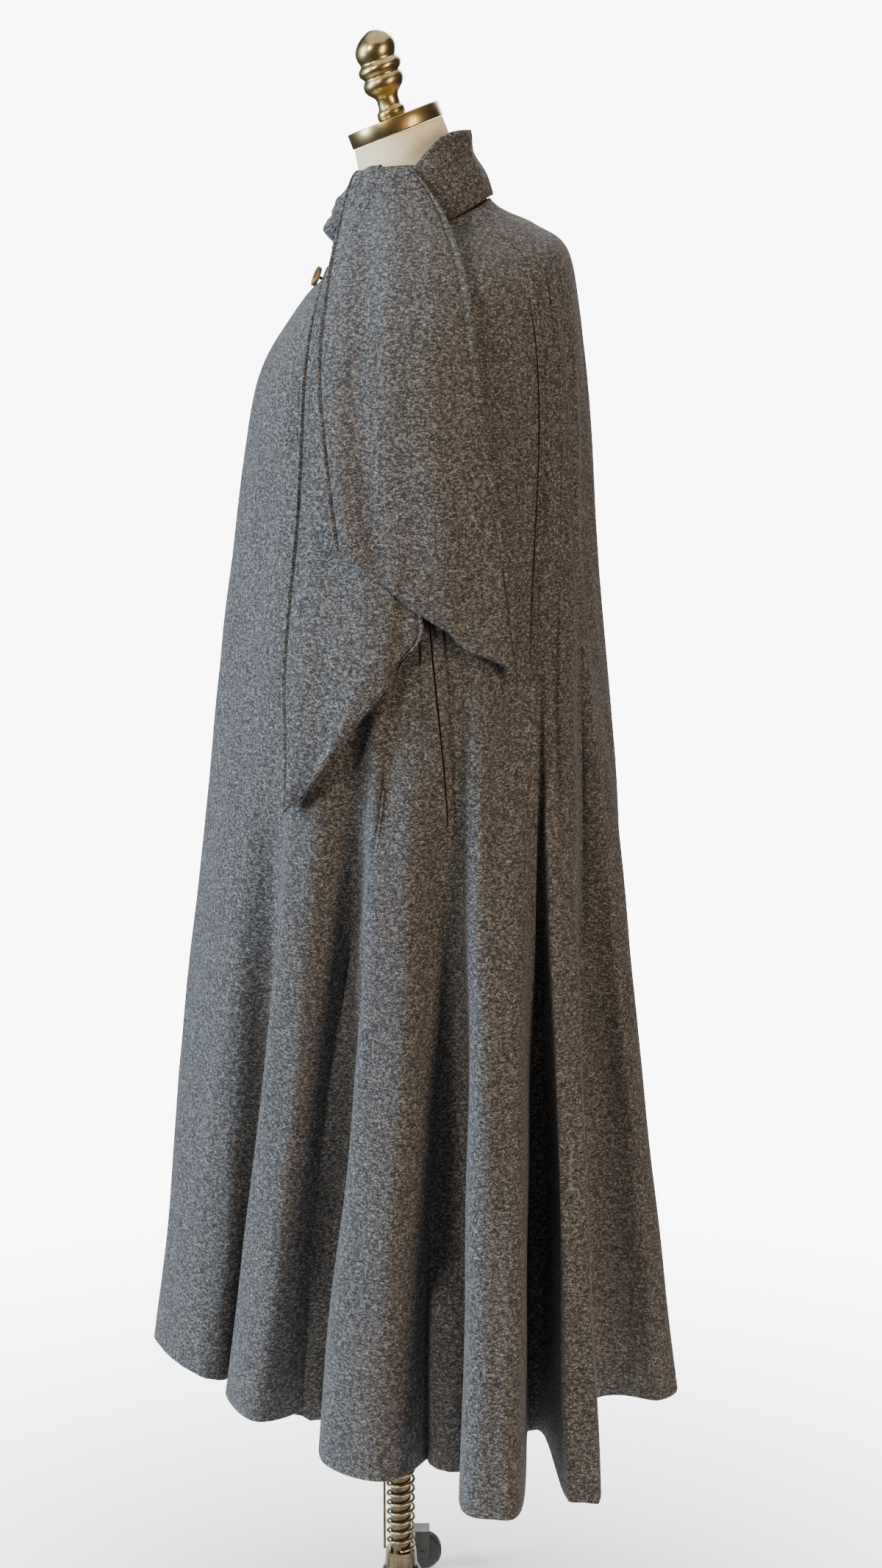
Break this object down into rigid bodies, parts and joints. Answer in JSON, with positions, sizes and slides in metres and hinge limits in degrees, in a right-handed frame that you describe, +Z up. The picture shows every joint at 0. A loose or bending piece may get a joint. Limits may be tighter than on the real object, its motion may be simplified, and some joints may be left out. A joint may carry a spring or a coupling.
{
  "type": "wool cape coat on a dress form",
  "caption": "Long flared wool cape with a tie scarf collar, arm slits and one button, worn on a limbless linen dress form on a rolling pole stand.",
  "frame": {"origin": "centre of the part's footprint on the floor", "axes": "+Z up, -Y towards the front of the coat, +X towards the wearer's left"},
  "size_m": [0.7202, 0.575, 1.7933],
  "materials": {
    "wool": "heathered charcoal wool flannel, matt with a soft nap",
    "button": "polished horn-like brown",
    "linen": "cream linen stretched over a padded form",
    "antique_gold": "antique gold, mottled, glossy",
    "bronze": "dark antique bronze, glossy",
    "spring_wire": "bright wire with a warm tarnish",
    "iron": "dark satin",
    "rubber": "black, slightly worn"
  },
  "bodies": {
    "stand": {"hub": "bronze", "post": "bronze", "guide_rod": "bronze", "spring": "spring_wire", "leg_0": "bronze", "leg_1": "bronze", "leg_2": "bronze", "leg_3": "bronze"},
    "form": {"cape_front_left": "wool", "cape_front_right": "wool", "cape_back": "wool", "collar": "wool", "scarf_knot": "wool", "scarf_end_upper": "wool", "scarf_end_lower": "wool", "button": "button", "dress_form": "linen", "neck_cap": "antique_gold", "finial": "antique_gold", "sliding_tube": "bronze", "spring_seat": "bronze"},
    "castor_0": {"castor_fork_0": "iron"},
    "wheel_0": {"castor_wheel_0": "rubber"},
    "castor_1": {"castor_fork_1": "iron"},
    "wheel_1": {"castor_wheel_1": "rubber"},
    "castor_2": {"castor_fork_2": "iron"},
    "wheel_2": {"castor_wheel_2": "rubber"},
    "castor_3": {"castor_fork_3": "iron"},
    "wheel_3": {"castor_wheel_3": "rubber"}
  },
  "joints": [
    {"name": "height_slide", "type": "slide", "parent": "stand", "child": "form", "axis": [0, 0, 1], "range_m": [-0.1, 0], "deforming": ["spring"]},
    {"name": "castor_0_swivel", "type": "hinge", "parent": "stand", "child": "castor_0", "pos_m": [0.235, -0.0155, 0.06], "axis": [0, 0, 1], "continuous": true},
    {"name": "wheel_0_spin", "type": "hinge", "parent": "castor_0", "child": "wheel_0", "pos_m": [0.235, -0.0375, 0.02335], "axis": [1, 0, 0], "continuous": true},
    {"name": "castor_1_swivel", "type": "hinge", "parent": "stand", "child": "castor_1", "pos_m": [0, 0.2195, 0.06], "axis": [0, 0, 1], "continuous": true},
    {"name": "wheel_1_spin", "type": "hinge", "parent": "castor_1", "child": "wheel_1", "pos_m": [0.022, 0.2195, 0.02335], "axis": [0, 1, 0], "continuous": true},
    {"name": "castor_2_swivel", "type": "hinge", "parent": "stand", "child": "castor_2", "pos_m": [-0.235, -0.0155, 0.06], "axis": [0, 0, 1], "continuous": true},
    {"name": "wheel_2_spin", "type": "hinge", "parent": "castor_2", "child": "wheel_2", "pos_m": [-0.235, 0.0065, 0.02335], "axis": [-1, 0, 0], "continuous": true},
    {"name": "castor_3_swivel", "type": "hinge", "parent": "stand", "child": "castor_3", "pos_m": [0, -0.2505, 0.06], "axis": [0, 0, 1], "continuous": true},
    {"name": "wheel_3_spin", "type": "hinge", "parent": "castor_3", "child": "wheel_3", "pos_m": [-0.022, -0.2505, 0.02335], "axis": [0, -1, 0], "continuous": true}
  ]
}
